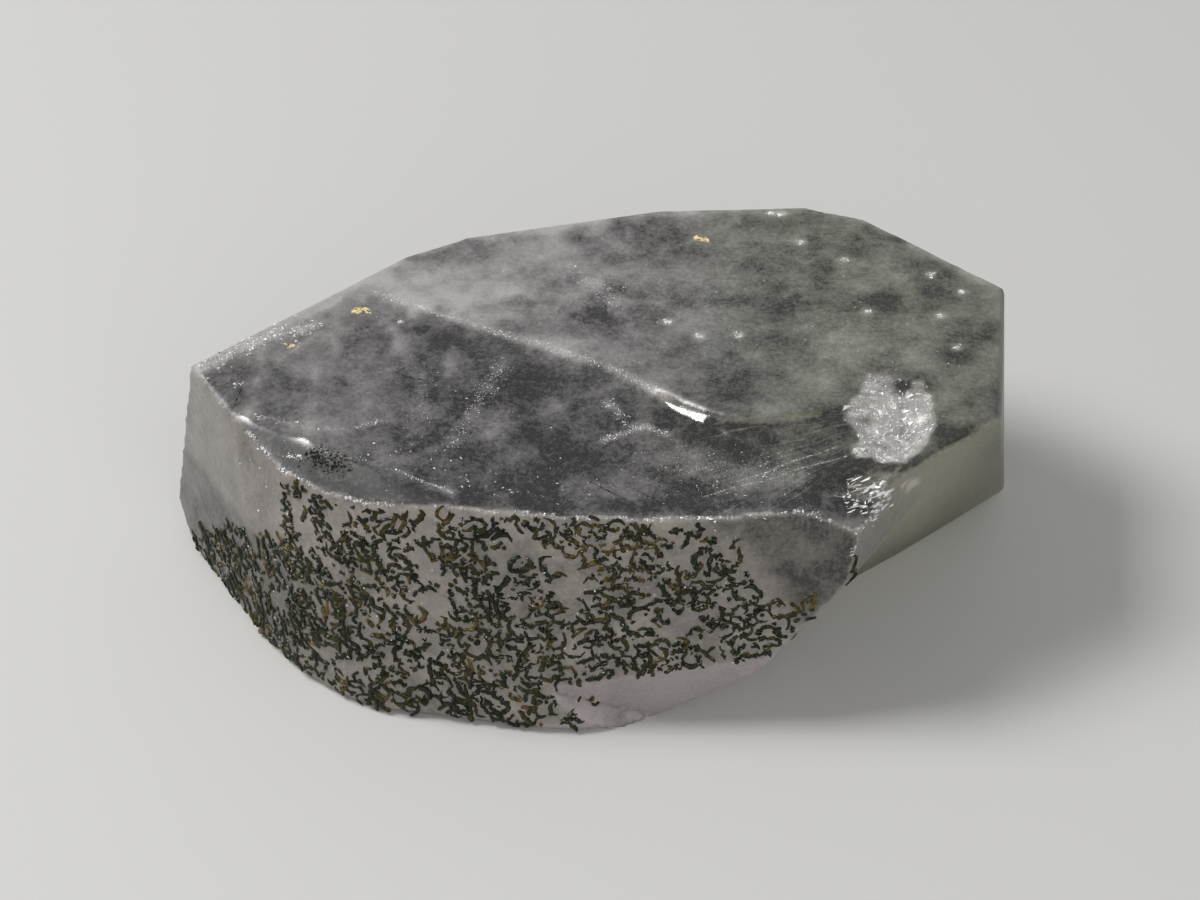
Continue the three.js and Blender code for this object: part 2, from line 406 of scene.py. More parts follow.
def foot_share(points, normals):
    """1 on the chip at the foot of the front, where its glow is painted, 0 elsewhere."""
    x, y, z = points.T / MM
    place = smoothstep(-3.4, -3.0, x) * smoothstep(5.6, 5.2, z) * smoothstep(-9, -11, y)
    return place * np.maximum(smoothstep(0.08, 0.0, normals[:, 2]), smoothstep(0.3, 0.4, normals[:, 2]))


def left_scar_share(points):
    """1 on and round the long scar at the left of the top's front edge, 0 elsewhere."""
    inward = points[:, :2] / MM @ SCAR_INWARD
    return smoothstep(*SCAR_INNER_EDGE, inward) * smoothstep(*SCAR_FOOT, points[:, 2] / MM)


def step_foot_share(points):
    """1 along the step at the back of the hollow, up to where it turns glassy, 0 elsewhere."""
    distance = line_distance(points[:, :2] / MM, VEILS[0][0])
    return smoothstep(1.6, 0.9, distance) * smoothstep(3.5, 3.0, points[:, 0] / MM)


def paleness(points, normals, fresh, bruise):
    """How cloudy and pale the surface is, from 0 for deep and clear to 1 for milky, with painted glow
    along the back rim, on the break's steep walls and on the chip at the foot.
    """
    x, y, z = points.T / MM
    patches = layered_noise(points, 5 * MM, 4, seed=14)
    blots = layered_noise(points, 2.6 * MM, 4, seed=19)
    spots = layered_noise(points, 1.3 * MM, 3, seed=17)
    wisps = np.clip(1 - 4.5 * np.abs(layered_noise(points, 3.4 * MM, 3, seed=29)), 0, 1)
    # Painted glow: a pale band along the back rim, where the back edges are seen brighter.
    rim = np.exp(-(line_distance(points[:, :2] / MM, BACK_RIM) / 0.55) ** 2)
    calm = 1 - 0.4 * smoothstep(-6, 8, x)
    plateau = TOP_PALE - 0.009 * x + calm * (0.35 * patches + 0.5 * blots + 0.5 * spots) + 0.14 * wisps
    plateau = plateau + rim * (0.35 + 0.6 * spots) + fleck_share(points)
    left_side = LEFT_PALE + 0.25 * smoothstep(7.2, 8.3, z) + 0.15 * patches + 0.25 * spots
    right_side = RIGHT_PALE + 0.12 * patches
    front = FRONT_PALE + 0.25 * patches + 0.35 * spots
    front = front - 0.5 * smoothstep(7.5, 11, x + 0.7 * (z - 10)) * smoothstep(0.0, -0.3, normals[:, 1])
    side = front + (left_side - front) * smoothstep(-0.55, -0.75, normals[:, 0])
    side = side + (right_side - side) * smoothstep(0.3, 0.6, normals[:, 0])
    natural = side + (plateau - side) * smoothstep(0.6, 0.85, normals[:, 2])
    hollow = 0.22 * patches + 0.3 * blots + 0.25 * spots + 0.12 * wisps
    hollow = hollow + 0.25 * smoothstep(-9, -15, x) + 0.25 * smoothstep(-12.0, -12.8, y)
    # Painted light: the slope term makes the break's steep walls paler to lift the dark that the glass
    # shows there, and the rim term is painted glow of the back edges.
    hollow = hollow + rim * (0.5 + 0.7 * spots) + 0.3 * smoothstep(0.93, 0.8, normals[:, 2])
    total = natural + (hollow - natural) * fresh * smoothstep(8, 10.5, z)
    total = total + 0.75 * veil_share(points)
    total = total + (SCAR_PALE + 0.2 * blots - total) * fresh * left_scar_share(points)
    # Painted glow: the chip at the foot is made nearly milky, with grainy spots on its upward parts,
    # where light through the crystal brightens it.
    grainy = 0.15 + 0.5 * smoothstep(0.3, 0.5, normals[:, 2])
    total = total + (FOOT_PAINTED_GLOW + grainy * spots - total) * foot_share(points, normals)
    cracks = np.clip(1 - 7 * np.abs(layered_noise(points, 1.5 * MM, 2, seed=24)), 0, 1)
    crushed = BRUISE_PALE + 0.5 * layered_noise(points, 0.7 * MM, 2, seed=23)
    crushed = crushed - 0.5 * cracks - 1.2 * pit_share(points)
    total = total + (crushed - total) * bruise
    return np.clip(total, 0, 1)


def levelled(points, planes, source_points):
    """The net's points, with those that stand out of the natural faces moved onto them."""
    stands_out = (source_points @ planes[:, :3].T - planes[:, 3]).max(0)
    outer = planes[stands_out < BUMP_LIMIT]
    normals, distances = outer[:, :3], outer[:, 3]
    for _ in range(3):
        proud = points @ normals.T - distances
        which = proud.argmax(1)
        height = np.maximum(proud[np.arange(len(points)), which], 0)
        points = points - height[:, None] * normals[which]
    return points


def set_surface_attributes(crystal, points, facing, fresh, bruise, worn):
    """Keeps on each vertex what the crystal's material reads there."""
    green = smoothstep(0 * MM, 15 * MM, points[:, 0]) * smoothstep(-13 * MM, -8 * MM, points[:, 1])
    # The lilac on the chip at the foot is painted glow of light through the crystal.
    lilac = foot_share(points, facing)
    set_attribute(crystal, "fresh", fresh)
    set_attribute(crystal, "bruise", bruise)
    set_attribute(crystal, "pale", paleness(points, facing, fresh, bruise))
    set_attribute(crystal, "worn", worn)
    set_attribute(crystal, "green", green * (1 - 0.8 * bruise))
    set_attribute(crystal, "lilac", lilac)
    set_attribute(crystal, "warm", smoothstep(-0.3, -0.7, facing[:, 1]) * (1 - lilac))
    set_attribute(crystal, "dull", np.maximum(left_scar_share(points), step_foot_share(points)))


def make_crystal():
    """The crystal: the CAD solid with rounded edges, smooth breaks and fine relief on them."""
    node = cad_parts["crystal"]
    planes = large_planes(node.data)
    source_points, _ = mesh_arrays(node.data)
    mesh = remeshed(node)
    points, edges = mesh_arrays(mesh)
    count = np.bincount(edges.ravel(), minlength=len(points)).astype(float)
    points = levelled(points, planes, source_points)
    nearest = np.abs(points @ planes[:, :3].T - planes[:, 3]).min(1)
    fresh = (nearest > FRESH_DISTANCE).astype(float)
    moved = points.copy()
    for _ in range(FRESH_SMOOTHING):
        moved += 0.5 * fresh[:, None] * (neighbour_mean(moved, edges, count) - moved)
    soft = softened(fresh, edges, count, 4)
    top = smoothstep(10 * MM, 11.5 * MM, moved[:, 2])
    moved[:, 2] += soft * top * break_relief(moved)
    bruise = bruise_share(moved)
    moved[:, 2] += bruise * BRUISE_RELIEF * layered_noise(moved, 0.8 * MM, 3, seed=21)
    mesh.vertices.foreach_set("co", moved.ravel())
    mesh.polygons.foreach_set("use_smooth", [True] * len(mesh.polygons))
    mesh.update()
    facing = vertex_normals(mesh)
    bulge = ((moved - neighbour_mean(moved, edges, count)) * facing).sum(1)
    worn = smoothstep(0.012 * MM, 0.035 * MM, softened(bulge, edges, count, 1))
    chipped = worn * smoothstep(-0.1, 0.6, layered_noise(moved, 1.1 * MM, 3, seed=41))
    moved -= facing * (EDGE_CHIPPING * softened(chipped, edges, count, 1))[:, None]
    low, high = (np.array(corner) for corner in cad_box)
    moved = np.clip(moved, low, high)
    mesh.vertices.foreach_set("co", moved.ravel())
    mesh.update()
    crystal = bpy.data.objects.new("crystal_surface", mesh)
    bpy.context.scene.collection.objects.link(crystal)
    set_surface_attributes(crystal, moved, facing, soft, bruise, worn)
    crystal.data.materials.clear()
    crystal.data.materials.append(crystal_material())
    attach(crystal, "root")
    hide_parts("crystal")
    bpy.context.view_layer.update()
    return crystal, worn


# Materials

def start_material(name):
    """A material with its node tree, its shader and its output."""
    material = bpy.data.materials.new(name)
    material.use_nodes = True
    tree = material.node_tree
    return material, tree, tree.nodes["Principled BSDF"], tree.nodes["Material Output"]


def attribute(tree, name):
    """A number kept on the vertices."""
    node = tree.nodes.new("ShaderNodeAttribute")
    node.attribute_name = name
    return node.outputs["Fac"]


def noise_texture(tree, size, detail):
    """Noise in the object's own space, with lumps of about the given size."""
    place = tree.nodes.new("ShaderNodeTexCoord")
    node = tree.nodes.new("ShaderNodeTexNoise")
    node.inputs["Scale"].default_value = 1.0 / size
    node.inputs["Detail"].default_value = detail
    node.inputs["Roughness"].default_value = NOISE_ROUGHNESS
    tree.links.new(place.outputs["Object"], node.inputs["Vector"])
    return node.outputs["Fac"]


def put(tree, socket, value):
    """Gives a socket a number, a colour or another node's output."""
    if isinstance(value, bpy.types.NodeSocket):
        tree.links.new(value, socket)
    else:
        socket.default_value = value


def spread(tree, value, low, high, to_low=0.0, to_high=1.0):
    """A number moved from one range to another, and kept inside it."""
    node = tree.nodes.new("ShaderNodeMapRange")
    for name, number in zip(("From Min", "From Max", "To Min", "To Max"), (low, high, to_low, to_high)):
        node.inputs[name].default_value = number
    tree.links.new(value, node.inputs["Value"])
    return node.outputs["Result"]


def calculate(tree, operation, first, second=0.0):
    """A sum, product or other result of two numbers."""
    node = tree.nodes.new("ShaderNodeMath")
    node.operation = operation
    put(tree, node.inputs[0], first)
    put(tree, node.inputs[1], second)
    return node.outputs["Value"]


def blend_numbers(tree, share, first, second):
    """first where share is 0, and second where it is 1."""
    node = tree.nodes.new("ShaderNodeMix")
    node.data_type = "FLOAT"
    put(tree, node.inputs[0], share)
    put(tree, node.inputs[2], first)
    put(tree, node.inputs[3], second)
    return node.outputs[0]


def blend_colours(tree, share, first, second, mode="MIX"):
    """The first colour where share is 0, and the second, or their product, where it is 1."""
    node = tree.nodes.new("ShaderNodeMix")
    node.data_type = "RGBA"
    node.blend_type = mode
    put(tree, node.inputs[0], share)
    put(tree, node.inputs[6], first)
    put(tree, node.inputs[7], second)
    return node.outputs[2]


def fan_lines(tree, number):
    """Fine straight lines that spread out from the blow, as numbers from 0 to 1."""
    place = tree.nodes.new("ShaderNodeTexCoord")
    parts = tree.nodes.new("ShaderNodeSeparateXYZ")
    tree.links.new(place.outputs["Object"], parts.inputs["Vector"])
    across = calculate(tree, "SUBTRACT", parts.outputs["X"], float(FAN_CENTRE[0]))
    along = calculate(tree, "SUBTRACT", parts.outputs["Y"], float(FAN_CENTRE[1]))
    angle = calculate(tree, "ARCTAN2", along, across)
    turned = tree.nodes.new("ShaderNodeCombineXYZ")
    tree.links.new(calculate(tree, "MULTIPLY", angle, float(number)), turned.inputs["X"])
    tree.links.new(calculate(tree, "MULTIPLY", parts.outputs["X"], 1 / (6 * MM)), turned.inputs["Y"])
    lines = tree.nodes.new("ShaderNodeTexNoise")
    lines.inputs["Scale"].default_value = 1.0
    lines.inputs["Detail"].default_value = 2.0
    tree.links.new(turned.outputs["Vector"], lines.inputs["Vector"])
    fade = spread(tree, parts.outputs["X"], 2 * MM, 8 * MM)
    fade = calculate(tree, "MULTIPLY", fade, spread(tree, angle, -2.3, -2.5))
    return calculate(tree, "MULTIPLY", spread(tree, lines.outputs["Fac"], 0.56, 0.7), fade)


def crystal_material():
    """Clear, faintly lilac-grey apatite: matt natural faces, glassy breaks and a crushed bruise."""
    material, tree, shader, output = start_material("apatite")
    fresh = attribute(tree, "fresh")
    bruise = attribute(tree, "bruise")
    worn = attribute(tree, "worn")
    grain = noise_texture(tree, 0.35 * MM, 2.0)
    dust = noise_texture(tree, 0.16 * MM, 1.0)
    streak = calculate(tree, "MULTIPLY", fan_lines(tree, FAN_LINES), fresh)
    natural = spread(tree, grain, 0.3, 0.7, *NATURAL_ROUGHNESS)
    glassy = spread(tree, noise_texture(tree, 2.5 * MM, 4.0), 0.35, 0.7, *GLASSY_ROUGHNESS)
    rough = blend_numbers(tree, fresh, natural, glassy)
    rough = blend_numbers(tree, worn, rough, WORN_ROUGHNESS)
    rough = blend_numbers(tree, attribute(tree, "dull"), rough, DULL_ROUGHNESS)
    rough = blend_numbers(tree, bruise, rough, BRUISE_ROUGHNESS)
    tree.links.new(rough, shader.inputs["Roughness"])
    pale = attribute(tree, "pale")
    pale = calculate(tree, "ADD", pale, spread(tree, grain, 0.3, 0.7, -0.1, 0.1))
    pale = calculate(tree, "ADD", pale, spread(tree, dust, 0.35, 0.7, -0.06, 0.1))
    pale = calculate(tree, "ADD", pale, calculate(tree, "MULTIPLY", streak, 0.25))
    pale = calculate(tree, "ADD", pale, calculate(tree, "MULTIPLY", worn, 0.25))
    colour = blend_colours(tree, spread(tree, pale, 0.0, 1.0), CLEAR_COLOUR, MILKY_COLOUR)
    # The lilac tint on the chip at the foot is painted glow.
    for name, tint in (("green", GREEN_TINT), ("warm", WARM_TINT), ("lilac", PAINTED_GLOW_LILAC_TINT)):
        colour = blend_colours(tree, attribute(tree, name), colour, tint, "MULTIPLY")
    tree.links.new(colour, shader.inputs["Base Color"])
    shader.inputs["Transmission Weight"].default_value = TRANSMISSION
    shader.inputs["IOR"].default_value = IOR
    bump = tree.nodes.new("ShaderNodeBump")
    bump.inputs["Strength"].default_value = 0.35
    bump.inputs["Distance"].default_value = 0.03 * MM
    skin = calculate(tree, "MULTIPLY", grain, calculate(tree, "SUBTRACT", 1.0, fresh))
    height = calculate(tree, "ADD", skin, calculate(tree, "MULTIPLY", streak, 0.7))
    tree.links.new(height, bump.inputs["Height"])
    tree.links.new(bump.outputs["Normal"], shader.inputs["Normal"])
    absorption = tree.nodes.new("ShaderNodeVolumeAbsorption")
    absorption.inputs["Color"].default_value = ABSORPTION_COLOUR
    absorption.inputs["Density"].default_value = ABSORPTION_DENSITY
    tree.links.new(absorption.outputs["Volume"], output.inputs["Volume"])
    return material


def tinted_material(name, colours, rough_low, rough_high, shine=0.5):
    """An opaque material whose colour follows each small piece's own tint."""
    dark, middle, light = colours
    material, tree, shader, _ = start_material(name)
    ramp = tree.nodes.new("ShaderNodeValToRGB")
    stops = ramp.color_ramp.elements
    stops[0].position = 0.0
    stops[0].color = dark
    stops[1].position = 1.0
    stops[1].color = light
    stops.new(0.6).color = middle
    tree.links.new(attribute(tree, "tint"), ramp.inputs["Fac"])
    tree.links.new(ramp.outputs["Color"], shader.inputs["Base Color"])
    speckle = noise_texture(tree, 0.15 * MM, 2.0)
    tree.links.new(spread(tree, speckle, 0.3, 0.7, rough_low, rough_high), shader.inputs["Roughness"])
    shader.inputs["Specular IOR Level"].default_value = shine
    return material


# Flakes: the small chips, healed cracks and inclusions in and on the clear crystal, and white flakes
# painted as glints

FLAKE_FACES = np.array([(0, 2, 1), (0, 1, 3), (1, 2, 3), (2, 0, 3)])

# The back rim of the top, from the left end to the right, in plan, along which a pale band is painted
# as the glow of the back edges.
BACK_RIM = [(-22.8, -1.1), (-14.1, 7.0), (-11.3, 9.9), (-7.7, 11.9), (3.7, 14.7), (12.6, 15.1),
            (16.2, 13.9), (23.8, 6.5), (23.6, -2.0)]
# Each veil or fine crack in the top: the points in plan that it follows and how far it spreads from
# them, in millimetres, how many flakes it has, how large these are, and how bright it is.
VEILS = [
    ([(-13.2, 6.4), (-8.7, 3.8), (-3.0, 0.9), (1.2, -1.4), (3.7, -3.5)], 0.13, 1100, 0.1, 0.55),
    ([(-22.3, -0.9), (-20.9, 0.5), (-18.9, 1.9), (-16.4, 3.1)], 0.5, 700, 0.2, 1.2),
    ([(-12.1, 3.7), (-11.0, 0.3), (-9.9, -2.1), (-9.6, -5.0), (-10.1, -7.6)], 0.5, 260, 0.09, 0.5),
    ([(-5.3, -0.9), (-6.4, -3.3), (-7.3, -5.8), (-8.0, -8.0)], 0.36, 480, 0.11, 0.5),
    ([(0.2, -6.7), (1.4, -6.2), (2.7, -5.7), (3.9, -6.2)], 0.12, 500, 0.1, 0.75),
    ([(0.6, -3.7), (1.4, -4.8), (2.0, -5.9)], 0.18, 170, 0.13, 0.6),
    ([(-20.0, -5.4), (-18.0, -5.8), (-15.7, -6.7), (-14.3, -6.7), (-11.3, -5.9)], 0.14, 230, 0.12, 0.5),
    ([(-17.4, -7.4), (-14.2, -8.8), (-10.5, -10.1)], 0.1, 100, 0.12, 0.12),
    ([(-10.5, -10.1), (-7.8, -11.5)], 0.05, 320, 0.09, 0.9),
    ([(-17.0, -8.4), (-16.2, -8.6)], 0.08, 70, 0.17, 0.6),
    ([(-14.0, 0.0), (-6.0, -4.0), (4.0, -7.0), (10.0, -8.0)], 2.4, 700, 0.07, 0.1),
    ([(-13.0, -9.0), (-5.0, -10.3), (3.0, -10.5), (10.0, -10.9)], 1.1, 190, 0.17, 0.15),
    ([(3.5, -8.2), (11.0, -10.0)], 0.9, 1100, 0.07, 0.35),
    ([(7.6, -10.2), (13.4, -7.7)], 0.03, 420, 0.07, 0.3),
    ([(5.8, -11.2), (13.7, -8.6)], 0.03, 500, 0.07, 0.3),
    ([(-2.0, 8.5), (0.7, 6.4), (0.9, 5.2), (1.1, 4.2)], 0.5, 260, 0.12, 0.6),
    ([(-12.0, 9.0), (-6.0, 6.5), (0.0, 5.5)], 1.2, 200, 0.1, 0.35),
    ([(-9.0, 9.0), (2.0, 7.0), (12.0, 5.0), (18.0, 3.0)], 4.0, 600, 0.1, 0.0),
    ([(12.0, 2.5), (16.0, 0.5), (21.0, -2.0)], 0.8, 120, 0.1, 0.3),
]
# Single pale flecks on the flat top, and warm-coloured specks of dust, in plan.
FLECKS = [(12.2, 11.4), (15.7, 4.2), (19.9, 3.8), (20.6, 0.7), (19.7, 8.0), (14.7, 9.5), (8.2, 1.9),
          (5.9, 1.8), (4.1, 3.2), (21.4, 6.2), (10.6, 14.5), (11.2, 14.4), (-11.4, 3.3), (-20.2, -2.6)]
DUST = [(-17.5, 1.1), (-13.9, 4.5), (-13.5, 4.6), (6.1, 11.8), (6.4, 11.6)]
# How far and how brightly a fleck clouds the surface round it, how narrow a veil's cloud may be, and
# how many flakes a fleck and a speck are made of.
FLECK_RADIUS = 0.34
FLECK_BRIGHTNESS = 0.7
LEAST_VEIL_WIDTH = 0.28
FLECK_LAYERS = 12
DUST_LAYERS = 16
# The way in which the ribs of the chipped corner run.
CORNER_RIBS = (0.88, 0.48, 0.0)
# Fine dark cracks in the top: their ends in plan, and how many flakes each has.
CRACKS = [((-0.3, -10.1), (1.7, -11.4)), ((4.8, -10.0), (6.3, -11.3)), ((-9.6, -2.2), (-11.4, -1.6)),
          ((-19.9, -2.9), (-20.3, -5.0)), ((2.2, -10.6), (3.4, -11.6))]
CRACK_FLAKES = 60
# Dark green matter at the surface beside the left rim, in plan, and how many flakes it has.
POCKET = [(-15.8, -8.6), (-14.9, -9.0), (-13.7, -9.7)]
POCKET_FLAKES = 700
# How far a flake may stand out of the top, the height from which the surface is looked for, and how
# steep it may be where a flake lies.
FLAKE_RISE = 0.04 * MM
LOOK_HEIGHT = 30 * MM
LEAST_UPWARD = 0.4


def along_line(line, number, random):
    """Random places along a line of points."""
    line = np.array(line, dtype=float)
    steps = np.linalg.norm(np.diff(line, axis=0), axis=1)
    marks = np.concatenate([[0], np.cumsum(steps)])
    chosen = random.random(number) * marks[-1]
    return np.c_[np.interp(chosen, marks, line[:, 0]), np.interp(chosen, marks, line[:, 1])]


def surface_below(piece, plan):
    """The places and normals of the surface straight under points given in plan, in metres."""
    places, normals = [], []
    for x, y in plan:
        found, place, normal, _ = piece.ray_cast((x, y, LOOK_HEIGHT), (0, 0, -1))
        if found and normal.z > LEAST_UPWARD:
            places.append(place)
            normals.append(normal)
    return np.array(places), np.array(normals)


def flake_corners(centres, normals, sizes, flatness, random, length=1.0, along=(1.0, 0.0, 0.0)):
    """The four corners of each flake, flattened along its normal and drawn out along a direction."""
    corners = random.normal(size=(len(centres), 4, 3))
    corners /= np.linalg.norm(corners, axis=2, keepdims=True)
    along = np.array(along) / np.linalg.norm(along)
    corners += (length - 1) * (corners @ along)[..., None] * along
    rise = (corners * normals[:, None]).sum(2, keepdims=True)
    corners -= (1 - flatness) * rise * normals[:, None]
    corners = centres[:, None] + corners * sizes[:, None, None] / 2
    sides = corners[:, 1:] - corners[:, :1]
    turned = (np.cross(sides[:, 0], sides[:, 1]) * sides[:, 2]).sum(1) < 0
    corners[turned] = corners[turned][:, [1, 0, 2, 3]]
    return corners


def flake_piece(name, corners, tints, material):
    """Flakes joined in one piece that rides the crystal."""
    corners[..., 2] = np.minimum(corners[..., 2], cad_box[1][2] + FLAKE_RISE)
    faces = FLAKE_FACES + 4 * np.arange(len(corners))[:, None, None]
    piece = new_object(name, corners.reshape(-1, 3), faces.reshape(-1, 3))
    set_attribute(piece, "tint", np.clip(np.repeat(tints, 4), 0, 1))
    piece.data.materials.append(material)
    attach(piece, "root")


def tilted(normals, amount, random):
    """Normals turned a little at random."""
    normals = normals + amount * random.normal(size=normals.shape)
    return normals / np.linalg.norm(normals, axis=1, keepdims=True)


def make_veils(crystal, random):
    """The cloudy veils, fine cracks and specks in and on the top."""
    corners, tints = [], []
    for line, width, number, size, _ in VEILS:
        plan = along_line(line, number, random) + width * random.normal(size=(number, 2))
        places, normals = surface_below(crystal, plan * MM)
        sizes = size * MM * random.uniform(0.4, 1.5, len(places))
        corners.append(flake_corners(places, tilted(normals, 0.25, random), sizes, 0.25, random))
        tints.append(random.uniform(0.1, 1.0, len(places)) ** 1.5)
    middles = np.repeat(FLECKS, FLECK_LAYERS, axis=0)
    places, normals = surface_below(crystal, (middles + 0.11 * random.normal(size=middles.shape)) * MM)
    sizes = random.uniform(0.15, 0.4, len(places)) * MM
    corners.append(flake_corners(places, normals, sizes, 0.15, random))
    tints.append(random.uniform(0.4, 0.8, len(places)))
    white = tinted_material("veil", VEIL_COLOURS, 0.2, 0.45)
    flake_piece("veil_flakes", np.concatenate(corners), np.concatenate(tints), white)


def make_chips(crystal, worn, random):
    """The white chips of the crushed patch and of the top's rim, and white flakes painted as glints on
    the ribs of the corner below it and on the grains.
    """
    points, _ = mesh_arrays(crystal.data)
    facing = vertex_normals(crystal.data)
    x, y, z = points.T / MM
    crushed = bruise_share(points) * smoothstep(0.3, 0.7, facing[:, 2]) * (1 - 0.8 * pit_share(points))
    near_rim = (z > 11.3) & (z < 14.6) & (y < -3.5) & (x < 15.5)
    rim = near_rim * worn * np.clip(0.5 + 1.1 * layered_noise(points, 1.5 * MM, 2, seed=61), 0.03, 1)
    # The ribs of the chipped corner are real; the white of their flakes is painted glints.
    corner = smoothstep(1.9, 1.2, np.hypot(x - 14.6, (y + 11.0) * 1.6)) * (z > 12)
    # White flakes standing out on top of the grains are painted glints.
    glints = (facing[:, 1] < -0.5) & (z > 4.8) & (z < 13) & (x > -20) & (x < 8)
    # Each kind of chip: where it may lie, how many there are, their size in millimetres, how much
    # they tilt, how thick they are for their width, how deep they sit in millimetres, how far they
    # are drawn out along the ribs, and the dullest tint.
    kinds = (
        (crushed, 200, 0.6, 0.16, 0.2, 0.05, 1.0, 0.6),
        (crushed, 900, 0.22, 0.35, 0.4, 0.02, 1.0, 0.5),
        (rim, 1700, 0.25, 0.5, 0.45, 0.05, 1.0, 0.2),
        # The corner's flakes, drawn out along its ribs, are white as painted glints.
        (corner, 90, 0.32, 0.12, 0.3, 0.04, 6.0, 0.6),
        (corner, 170, 0.22, 0.2, 0.4, 0.02, 2.5, 0.5),
        # Painted glints: white flakes on top of the grains.
        (glints.astype(float), 320, 0.12, 0.5, 0.5, -0.17, 1.0, 0.2),
    )
    corners, tints = [], []
    for chance, number, size, tilt, flatness, depth, length, dullest in kinds:
        chosen = random.choice(len(points), number, p=chance / chance.sum())
        normals = tilted(facing[chosen], tilt, random)
        centres = points[chosen] - depth * MM * facing[chosen]
        sizes = size * MM * random.uniform(0.4, 1.4, number)
        corners.append(flake_corners(centres, normals, sizes, flatness, random, length, CORNER_RIBS))
        tints.append(random.uniform(dullest, 1.0, number))
    # One material for the white chips and for the painted glints.
    white = tinted_material("chips", CHIP_AND_GLINT_COLOURS, 0.12, 0.35)
    flake_piece("white_chips_and_glints", np.concatenate(corners), np.concatenate(tints), white)


def make_dust(crystal, random):
    """A few warm-coloured specks of dust on the top."""
    middles = np.repeat(DUST, DUST_LAYERS, axis=0)
    plan = middles + random.normal(size=middles.shape) * (0.16, 0.13)
    places, normals = surface_below(crystal, plan * MM)
    sizes = random.uniform(0.25, 0.5, len(places)) * MM
    corners = flake_corners(places, normals, sizes, 0.15, random)
    warm = tinted_material("dust", DUST_COLOURS, 0.6, 0.9)
    flake_piece("dust_specks", corners, random.uniform(0.3, 1.0, len(places)), warm)


# The grains

# Where grains cover the front: heights of the lower and upper limits, in millimetres, at places
# along X, and how thickly they lie there, with 1 for the middle of the front.
GRAIN_X = [-24.2, -21.1, -18.3, -17.4, -17.2, -13.5, 0.0, 0.3, 1.3, 5.6, 7.5, 8.5, 9.4, 12.8, 14.2]
GRAIN_LOW = [0.1, 0.1, 0.1, 0.1, 0.1, 0.1, 0.1, 3.5, 3.9, 4.4, 4.6, 4.8, 5.2, 7.0, 9.5]
GRAIN_HIGH = [1.2, 6.1, 8.4, 9.4, 13.6, 13.5, 13.4, 13.4, 13.3, 12.7, 12.0, 10.4, 8.4, 8.9, 11.2]
GRAIN_COVER = [0.8, 0.9, 1.0, 2.0, 2.0, 1.0, 1.0, 1.0, 1.0, 1.0, 1.0, 0.9, 0.5, 0.35, 0.2]
# The two sizes of grain: how many, then the shortest and longest length and radius, and how far
# apart their middles lie at least, in millimetres.
GRAIN_SORTS = [(1200, 0.3, 1.15, 0.11, 0.19, 0.38), (800, 0.12, 0.35, 0.09, 0.14, 0.24)]
GRAIN_RINGS = 6
GRAIN_SIDES = 6
# How many places on the surface are tried, and how large the groups are that grains grow in.
GRAIN_TRIALS = 60000
GRAIN_GROUP = 1.3 * MM
# The steps to a cell's 26 neighbours and to itself.
CELL_STEPS = [(i, j, k) for i in (-1, 0, 1) for j in (-1, 0, 1) for k in (-1, 0, 1)]


def surface_samples(piece, number, random):
    """Random places on a mesh, even by area, with the normals there."""
    mesh = piece.data
    mesh.calc_loop_triangles()
    corners = np.empty(len(mesh.loop_triangles) * 3, dtype=np.int64)
    mesh.loop_triangles.foreach_get("vertices", corners)
    points, _ = mesh_arrays(mesh)
    triangle = points[corners.reshape(-1, 3)]
    cross = np.cross(triangle[:, 1] - triangle[:, 0], triangle[:, 2] - triangle[:, 0])
    area = np.linalg.norm(cross, axis=1)
    chosen = random.choice(len(triangle), number, p=area / area.sum())
    first, second = random.random(number), random.random(number)
    over = first + second > 1
    first[over] = 1 - first[over]
    second[over] = 1 - second[over]
    chosen_corners = triangle[chosen]
    places = chosen_corners[:, 0] + first[:, None] * (chosen_corners[:, 1] - chosen_corners[:, 0])
    places += second[:, None] * (chosen_corners[:, 2] - chosen_corners[:, 0])
    return places, cross[chosen] / area[chosen][:, None]


def worm(place, normal, random, length, radius, turn, bend, sink):
    """The vertices of one curved grain that lies in the surface."""
    across = np.cross((0.0, 0.0, 1.0), normal)
    across /= np.linalg.norm(across)
    up = np.cross(normal, across)
    along = math.cos(turn) * across + math.sin(turn) * up
    side = np.cross(normal, along)
    vertices = []
    for ring in range(GRAIN_RINGS):
        share = ring / (GRAIN_RINGS - 1) * 2 - 1
        aside = bend * (share * share - 0.4) + 0.35 * radius * random.normal()
        centre = place + along * (share * length / 2) + side * aside - normal * sink
        thick = radius * (1 - 0.25 * share ** 4) * random.uniform(0.78, 1.2)
        for corner in range(GRAIN_SIDES):
            angle = 2 * math.pi * (corner + 0.5 * (ring % 2)) / GRAIN_SIDES
            vertices.append(centre + thick * (math.cos(angle) * side + 0.8 * math.sin(angle) * normal))
    tip = along * (length / 2 + 0.3 * radius)
    middle = place + side * (bend * 0.6) - normal * sink
    return vertices + [middle - tip, middle + tip]


def worm_faces():
    """The faces of one grain, by the order of its vertices."""
    faces = []
    for ring in range(GRAIN_RINGS - 1):
        for corner in range(GRAIN_SIDES):
            following = (corner + 1) % GRAIN_SIDES
            here, there = ring * GRAIN_SIDES, (ring + 1) * GRAIN_SIDES
            faces.append((here + corner, here + following, there + following))
            faces.append((here + corner, there + following, there + corner))
    last = (GRAIN_RINGS - 1) * GRAIN_SIDES
    start, end = GRAIN_RINGS * GRAIN_SIDES, GRAIN_RINGS * GRAIN_SIDES + 1
    for corner in range(GRAIN_SIDES):
        following = (corner + 1) % GRAIN_SIDES
        faces.append((start, following, corner))
        faces.append((end, last + corner, last + following))
    return np.array(faces)


